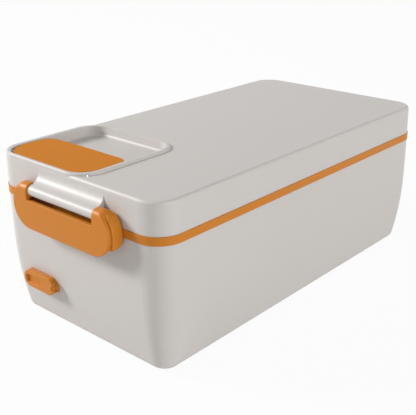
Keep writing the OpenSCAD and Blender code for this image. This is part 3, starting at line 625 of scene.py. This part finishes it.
def arc(centre: Point, radius: float, start: float, end: float, steps: int = 24) -> List[Point]:
    """Points along an arc.

    Args:
        centre: Its centre.
        radius: Its radius.
        start: First angle.
        end: Last angle.
        steps: Number of chords.

    Returns:
        The points in order.
    """
    angles = [math.radians(start + (end - start) * step / steps) for step in range(steps + 1)]
    return [(centre[0] + radius * math.cos(a), centre[1] + radius * math.sin(a)) for a in angles]


def prism(outline: Sequence[Point], along: Along, low: float, high: float) -> bpy.types.Mesh:
    """Makes a closed bar with a flat outline.

    Args:
        outline: The outline as (y, z) for a bar along X, (x, z) along Y, or (x, y) along Z.
        along: Axis of the bar.
        low: Where it starts on that axis.
        high: Where it ends.

    Returns:
        The mesh, with its faces turned outwards.
    """
    shape = bmesh.new()
    spot = along.value
    rings = []
    for end in (low, high):
        corners = [(*pair[:spot], end, *pair[spot:]) for pair in outline]
        rings.append([shape.verts.new(corner) for corner in corners])
    shape.faces.new(rings[0])
    shape.faces.new(rings[1])
    for index in range(len(outline)):
        after = (index + 1) % len(outline)
        shape.faces.new((rings[0][index], rings[0][after], rings[1][after], rings[1][index]))
    bmesh.ops.recalc_face_normals(shape, faces=shape.faces)
    mesh = bpy.data.meshes.new("prism")
    shape.to_mesh(mesh)
    shape.free()
    return mesh


def overlap(first: bpy.types.Mesh, second: bpy.types.Mesh) -> bpy.types.Mesh:
    """Keeps what two closed meshes have in common.

    Args:
        first: One mesh.
        second: The other mesh.

    Returns:
        The common part.
    """
    one, other = placed("overlap", first), placed("overlap", second)
    intersect(one, other, "EXACT")
    made = settled(one, "overlap")
    mesh = made.data
    for thing in (other, made):
        bpy.data.objects.remove(thing)
    return mesh


def gathered(meshes: Sequence[bpy.types.Mesh]) -> bpy.types.Mesh:
    """Puts several meshes into one, as they lie, and closes their seams.

    Args:
        meshes: The meshes.

    Returns:
        The mesh that holds them all.
    """
    shape = bmesh.new()
    for mesh in meshes:
        shape.from_mesh(mesh)
    bmesh.ops.remove_doubles(shape, verts=shape.verts, dist=SEAM)
    mesh = bpy.data.meshes.new("gathered")
    shape.to_mesh(mesh)
    shape.free()
    return mesh


# ---------------------------------------------------------------- soft-edged mouldings


class Workshop:
    """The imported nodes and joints, and the materials of the finishes in use."""

    def __init__(self, frame: Dict[str, Any]) -> None:
        """Takes the nodes and joints.

        Args:
            frame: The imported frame.
        """
        self.nodes: Dict[str, bpy.types.Object] = frame["nodes"]
        self.joints: Sequence[Dict[str, Any]] = frame["joints"]
        self.materials: Dict[str, bpy.types.Material] = {}

    def material(self, finish: Finish) -> bpy.types.Material:
        """Material of a finish, built when it is first used.

        Args:
            finish: The finish.

        Returns:
            The material.
        """
        if finish.name not in self.materials:
            self.materials[finish.name] = finish.material()
        return self.materials[finish.name]

    def dress(self, finish: Finish, *names: str) -> None:
        """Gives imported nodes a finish.

        Args:
            finish: The finish.
            *names: The nodes.
        """
        for name in names:
            mesh = self.nodes[name].data
            mesh.materials.clear()
            mesh.materials.append(self.material(finish))
            log.info("%s: %s", name, finish.name)


@dataclass(frozen=True)
class Moulding:
    """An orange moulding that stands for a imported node, with the same form and soft edges.

    Its mesh has cells of an even size and is relaxed in rounds. Of its faces only the share keep is kept.
    """

    node: str
    name: str
    body: Body
    finish: MouldedPlastic = ORANGE
    cell: float = 0.00016
    rounds: int = 3
    keep: float = 1.0

    def shape(self, shop: Workshop) -> bpy.types.Mesh:
        """The sharp-edged form."""
        return shop.nodes[self.node].data.copy()

    def outline(self) -> Optional[bpy.types.Mesh]:
        """Closed bar that the form is cut to, or None."""
        return None

    def build(self, shop: Workshop) -> None:
        """Makes the piece and hangs it on its body.

        Args:
            shop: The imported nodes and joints, and the finishes' materials.
        """
        made = softened(self.shape(shop), self.name, self.cell, self.rounds, self.keep, self.outline())
        made.data.materials.append(shop.material(self.finish))
        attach(made, self.body.value)
        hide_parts(self.node)
        log.info("%s: %d faces", self.name, len(made.data.polygons))


@dataclass(frozen=True)
class SteamFlap(Moulding):
    """The flap over the steam vent, with round corners and a lip along its rear edge."""

    node: str = "vent_cap"
    name: str = "steam_flap"
    body: Body = Body.FLAP
    # the lighter copy of the orange plastic: painted light on the flap
    finish: MouldedPlastic = FLAP
    cell: float = 0.0002
    rounds: int = 4
    keep: float = 0.35
    rear_corner: float = 0.0065
    front_corner: float = 0.0144
    lip: float = 0.0007  # how far the lip stands out behind

    def outline(self) -> bpy.types.Mesh:
        """Upright bar with the flap's round corners, reaching past the rear edge to spare the lip.

        Returns:
            The bar.
        """
        low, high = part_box(self.node)
        radius, turn = self.rear_corner, self.front_corner
        rear = high[0] - self.lip - radius
        beyond = high[0] + radius
        points = arc((rear, high[1] - radius), radius, 90, 0)
        points += [(beyond, high[1] - radius), (beyond, low[1] + radius)]
        points += arc((rear, low[1] + radius), radius, 0, -90)
        points += arc((low[0] + turn, low[1] + turn), turn, -90, -180)
        points += arc((low[0] + turn, high[1] - turn), turn, 180, 90)
        return prism(points, Along.Z, low[2] - radius, high[2] + radius)


@dataclass(frozen=True)
class SnapLatch(Moulding):
    """The latch: a plate with rounded corners, a groove round it, and D-shaped side walls with ears.

    The side profile is laid out from the hinge's axis. The plate's top and the ears' rounds stop a few
    degrees before they meet, which carries the groove over the top.
    """

    node: str = "latch"
    name: str = "snap_latch"
    body: Body = Body.LATCH
    cell: float = 0.0002
    keep: float = 0.4
    half_width: float = 0.0384
    corner: float = 0.011
    ear_radius: float = 0.004
    notch_half: float = 0.026
    lip_drop: float = 0.0038  # from the axis down to the notch's floor
    reach: float = 0.0213  # from the axis down to the plate's lower edge
    rim: float = 0.001  # thickness of the plate in front of the groove
    groove: float = 0.0005  # width of the groove
    proud: float = 0.0006  # how far the walls stand outside the plate
    groove_radius: float = 0.0108  # of the groove's bend over the ear
    groove_rise: float = 0.0032  # from the bend's centre up to the axis
    wall_thickness: float = 0.0034
    wall_drop: float = 0.0152  # from the axis down to the walls' lower edge
    plate_stop: float = 92.0
    ear_stop: float = 84.0

    def pivot(self, shop: Workshop) -> Point:
        """The hinge's axis as (x, z)."""
        hinge = next(joint for joint in shop.joints if joint["child"] == self.body.value)
        return hinge["pos_m"][0], hinge["pos_m"][2]

    def front_outline(self, pivot: Point, grow: float, notched: bool) -> List[Point]:
        """Front outline of the latch.

        Args:
            pivot: The hinge's axis as (x, z).
            grow: How far the outline stands outside the plate's.
            notched: Whether the gap between the ears is cut out.

        Returns:
            Points as (y, z).
        """
        half = self.half_width + grow
        radius = self.corner + grow
        top = pivot[1] + self.ear_radius + grow
        low = pivot[1] - self.reach - grow
        points = arc((half - radius, top - radius), radius, 90, 0)
        points += arc((half - radius, low + radius), radius, 0, -90)
        points += arc((radius - half, low + radius), radius, -90, -180)
        points += arc((radius - half, top - radius), radius, 180, 90)
        if notched:
            lip = pivot[1] - self.lip_drop
            points += [(-self.notch_half, top), (-self.notch_half, lip)]
            points += [(self.notch_half, lip), (self.notch_half, top)]
        return points

    def groove_edge(self, pivot: Point, inset: float) -> List[Point]:
        """Edge of the groove, upright beside the plate and bent back over the ear.

        Args:
            pivot: The hinge's axis as (x, z).
            inset: Depth of this edge behind the plate's face.

        Returns:
            Points as (x, z), from the ear's top downwards.
        """
        front = pivot[0] - self.ear_radius
        centre = (front + self.rim + self.groove_radius, pivot[1] - self.groove_rise)
        radius = self.groove_radius + self.rim - inset
        rise = self.ear_radius + self.groove_rise
        last = 180 - math.degrees(math.asin(rise / radius))
        return arc(centre, radius, last, 180)

    def plate_profile(self, pivot: Point) -> List[Point]:
        """Side profile of the plate in front of the groove.

        Args:
            pivot: The hinge's axis as (x, z).

        Returns:
            Points as (x, z).
        """
        front = pivot[0] - self.ear_radius
        low = pivot[1] - self.reach - self.proud
        edge = self.groove_edge(pivot, self.rim)
        points = [(front, low)] + arc(pivot, self.ear_radius, 180, self.plate_stop)
        return points + edge + [(edge[-1][0], low)]

    def wall_profile(self, pivot: Point) -> List[Point]:
        """Side profile of an ear and its wall behind the groove.

        Args:
            pivot: The hinge's axis as (x, z).

        Returns:
            Points as (x, z).
        """
        edge = self.groove_edge(pivot, self.rim + self.groove)
        turn = (pivot[0], pivot[1] - self.wall_drop + self.ear_radius)
        points = arc(pivot, self.ear_radius, self.ear_stop, 0) + arc(turn, self.ear_radius, 0, -90)
        return points + [(edge[-1][0], turn[1] - self.ear_radius)] + edge[::-1]

    def ear_profile(self, pivot: Point) -> List[Point]:
        """Side profile of the block of an ear round the pin.

        Args:
            pivot: The hinge's axis as (x, z).

        Returns:
            Points as (x, z).
        """
        edge = self.groove_edge(pivot, self.rim + self.groove)
        foot = pivot[1] - self.ear_radius
        points = arc(pivot, self.ear_radius, self.ear_stop, -90)
        return points + [(edge[-1][0], foot)] + edge[::-1]

    def shape(self, shop: Workshop) -> bpy.types.Mesh:
        """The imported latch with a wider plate, and a wall and an ear at each end.

        Args:
            shop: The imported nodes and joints.

        Returns:
            The mesh.
        """
        pivot = self.pivot(shop)
        far_x = pivot[0] - 2 * self.ear_radius
        near_x = pivot[0] + 2 * self.ear_radius
        side = self.half_width + 2 * self.proud
        plate = overlap(
            prism(self.front_outline(pivot, 0.0, True), Along.X, far_x, near_x),
            prism(self.plate_profile(pivot), Along.Y, -side, side),
        )
        parts = [shop.nodes[self.node].data.copy(), plate]
        inner = self.half_width + self.proud - self.wall_thickness
        ends = ((self.wall_profile(pivot), inner), (self.ear_profile(pivot), self.notch_half))
        for profile, start in ends:
            for low, high in ((-side, -start), (start, side)):
                outline = prism(self.front_outline(pivot, self.proud, False), Along.X, far_x, near_x)
                parts.append(overlap(outline, prism(profile, Along.Y, low, high)))
        return gathered(parts)


# ---------------------------------------------------------------- sub-assemblies


@dataclass
class Tub:
    """The pale tub with its underside, feet and screws, and the orange band."""

    feet: Rubber = Rubber("foot_rubber", (0.05, 0.05, 0.052), 0.7)

    def build(self, shop: Workshop) -> None:
        """Dresses the tub.

        Args:
            shop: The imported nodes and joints, and the finishes' materials.
        """
        shop.dress(PALE, "outer_shell", "base_plate")
        shop.dress(ORANGE, "trim_ring")
        shop.dress(self.feet, "rubber_feet")
        shop.dress(ZINC, "base_screws", "hinge_pin")


@dataclass
class Lid:
    """The pale lid with its inner panel and seal, the steam vent and the latch."""

    latch: SnapLatch = SnapLatch()
    flap: SteamFlap = SteamFlap()

    def build(self, shop: Workshop) -> None:
        """Dresses the lid, and builds its latch and flap.

        Args:
            shop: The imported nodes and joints, and the finishes' materials.
        """
        shop.dress(PALE, "lid_shell")
        shop.dress(LINER, "lid_liner")
        shop.dress(SILICONE, "lid_gasket", "vent_plug", "vent_grommet")
        shop.dress(ZINC, "liner_screws", "latch_pin", "vent_cap_pin")
        self.latch.build(shop)
        self.flap.build(shop)


@dataclass
class Heater:
    """The basin with its heating plate, the heater and the parts that limit its heat."""

    plate: CastMetal = CastMetal("plate_aluminium", (0.72, 0.73, 0.74), 0.42, grain=1300.0)
    foil: CastMetal = CastMetal("foil", (0.8, 0.81, 0.82), 0.2, grain=300.0, depth=0.0002, crinkle=160.0)
    strap: BrushedMetal = BrushedMetal("clamp_steel", (0.5, 0.51, 0.52), 0.34)
    block: Ceramic = Ceramic("heater_block", (0.3, 0.28, 0.25))
    fuse: Ceramic = Ceramic("fuse_body", (0.72, 0.7, 0.65))

    def build(self, shop: Workshop) -> None:
        """Dresses the heating parts.

        Args:
            shop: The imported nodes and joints, and the finishes' materials.
        """
        shop.dress(LINER, "heating_basin")
        shop.dress(self.plate, "heating_plate")
        shop.dress(SILICONE, "plate_gasket")
        shop.dress(self.block, "ptc_heater")
        shop.dress(self.strap, "heater_clamp")
        shop.dress(ZINC, "clamp_screws")
        shop.dress(self.fuse, "thermal_fuse")
        shop.dress(DARK, "thermostat")
        shop.dress(self.foil, "heat_shield")


@dataclass
class SocketAndLeads:
    """The socket with its cover and bezel, and the three inner leads."""

    brass: CastMetal = CastMetal("brass", (0.72, 0.56, 0.28), 0.25, grain=800.0, depth=0.00001)
    live: WireSleeve = WireSleeve("brown_sleeve", (0.16, 0.05, 0.025))
    heater: WireSleeve = WireSleeve("pale_sleeve", (0.66, 0.62, 0.54), ribs=1400.0, depth=0.0001)
    neutral: WireSleeve = WireSleeve("blue_sleeve", (0.03, 0.09, 0.28))
    cover: Moulding = Moulding("inlet_cover", "socket_cover", Body.COVER)
    bezel: Moulding = Moulding("inlet_bezel", "socket_bezel", Body.BASE)

    def build(self, shop: Workshop) -> None:
        """Dresses the socket and the leads, and builds the cover and the bezel.

        Args:
            shop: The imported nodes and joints, and the finishes' materials.
        """
        shop.dress(DARK, "power_inlet")
        shop.dress(self.brass, "inlet_pins")
        shop.dress(ZINC, "inlet_screws", "inlet_cover_pin")
        shop.dress(self.live, "live_lead")
        shop.dress(self.heater, "heater_lead")
        shop.dress(self.neutral, "neutral_lead")
        self.cover.build(shop)
        self.bezel.build(shop)


@dataclass
class FoodContainers:
    """The steel container and the side dish."""

    steel: BrushedMetal = BrushedMetal("food_steel", (0.56, 0.57, 0.58), 0.26)
    dish: MouldedPlastic = MouldedPlastic("dish_plastic", (0.78, 0.77, 0.74), 0.2, depth=0.000004)

    def build(self, shop: Workshop) -> None:
        """Dresses the containers."""
        shop.dress(self.steel, "steel_container")
        shop.dress(self.dish, "side_tray")


# ---------------------------------------------------------------- studio


@dataclass(frozen=True)
class Lamp:
    """A soft rectangular lamp that looks at the box. Its power is in watts."""

    name: str
    place: Xyz
    size: Point
    power: float
    target: Xyz = (0.0, 0.0, 0.06)

    def build(self) -> None:
        """Hangs the lamp."""
        data = bpy.data.lights.new(self.name, "AREA")
        data.shape = "RECTANGLE"
        data.size, data.size_y = self.size
        data.energy = self.power
        lamp = placed(self.name, data)
        lamp.location = self.place
        aim = Vector(self.target) - Vector(self.place)
        lamp.rotation_euler = aim.to_track_quat("-Z", "Y").to_euler()


@dataclass
class Studio:
    """White studio, soft lamps and the camera, whose angles are in radians.

    The paper's grey is the light that the floor sends back to the box. Where the camera looks at the floor,
    all but a small share is plain white, which leaves a faint shadow.
    """

    camera_place: Xyz = (-0.341346, -0.296049, 0.2238)
    pitch: float = 0.37408
    heading: float = 0.71198
    roll: float = -0.00363
    focal_pixels: float = 771.582
    frame_pixels: Tuple[int, int] = (416, 415)
    centre_pixels: Point = (228.929, 200.554)
    sensor_mm: float = 36.0
    nearest: float = 0.01
    farthest: float = 40.0
    floor_side: float = 12.0
    paper: float = 0.72
    floor_white: float = 0.95
    sky: float = 0.38
    lamps: Tuple[Lamp, ...] = (
        Lamp("key", (-0.95, 1.52, 0.92), (0.5, 0.5), 36.5),
        Lamp("fill", (0.02, -1.98, 0.32), (1.6, 1.0), 25.5),
    )

    def turned(self) -> Matrix:
        """The camera's right, up and backward directions as a rotation.

        Returns:
            The rotation.
        """
        level = math.cos(self.pitch)
        east, north = math.cos(self.heading), math.sin(self.heading)
        ahead = Vector((level * east, level * north, -math.sin(self.pitch)))
        right = Vector((north, -east, 0.0))
        up = right.cross(ahead)
        cosine, sine = math.cos(self.roll), math.sin(self.roll)
        rows = (right * cosine + up * sine, up * cosine - right * sine, -ahead)
        return Matrix(rows).transposed()

    def camera(self) -> None:
        """Sets the camera."""
        data = bpy.data.cameras.new("camera")
        width, height = self.frame_pixels
        data.sensor_width = self.sensor_mm
        data.lens = self.focal_pixels / width * data.sensor_width
        data.shift_x = -(self.centre_pixels[0] - width / 2) / width
        data.shift_y = (self.centre_pixels[1] - height / 2) / width
        data.clip_start, data.clip_end = self.nearest, self.farthest
        camera = placed("camera", data)
        camera.matrix_world = Matrix.Translation(self.camera_place) @ self.turned().to_4x4()
        bpy.context.scene.camera = camera

    def floor(self) -> None:
        """Lays the floor."""
        half = self.floor_side / 2
        mesh = bpy.data.meshes.new("floor")
        corners = [(-half, -half, 0), (half, -half, 0), (half, half, 0), (-half, half, 0)]
        mesh.from_pydata(corners, [], [(0, 1, 2, 3)])
        floor = placed("floor", mesh)
        material = bpy.data.materials.new("studio_floor")
        shade = Shade(material)
        paper = shade.node("ShaderNodeBsdfDiffuse", {}, {"Color": shade.colour((self.paper,) * 3)})
        white = shade.node("ShaderNodeEmission", {}, {"Color": shade.colour(WHITE), "Strength": 1.0})
        share = shade.seen_directly() * self.floor_white
        shade.finish(shade.node("ShaderNodeMixShader", {}, {0: share, 1: paper, 2: white}))
        mesh.materials.append(material)

    def sky_light(self) -> None:
        """Lights the studio evenly from all round; the camera sees white."""
        world = bpy.data.worlds.new("studio")
        bpy.context.scene.world = world
        shade = Shade(world)
        dome, white = (
            shade.node("ShaderNodeBackground", {}, {"Color": shade.colour(WHITE), "Strength": strength})
            for strength in (self.sky, 1.0)
        )
        mixed = shade.node("ShaderNodeMixShader", {}, {0: shade.seen_directly(), 1: dome, 2: white})
        shade.finish(mixed, "ShaderNodeOutputWorld")

    def build(self) -> None:
        """Sets up the whole studio."""
        self.camera()
        self.floor()
        self.sky_light()
        for lamp in self.lamps:
            lamp.build()
        bpy.context.scene.view_settings.view_transform = "Standard"


def main() -> None:
    """Builds the lunch box's looks and its studio."""
    logging.basicConfig(level=logging.INFO, format="%(name)s %(message)s")
    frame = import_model()
    Studio().build()
    shop = Workshop(frame)
    for assembly in (Tub(), Lid(), Heater(), SocketAndLeads(), FoodContainers()):
        assembly.build(shop)


if __name__ == "__main__":
    main()
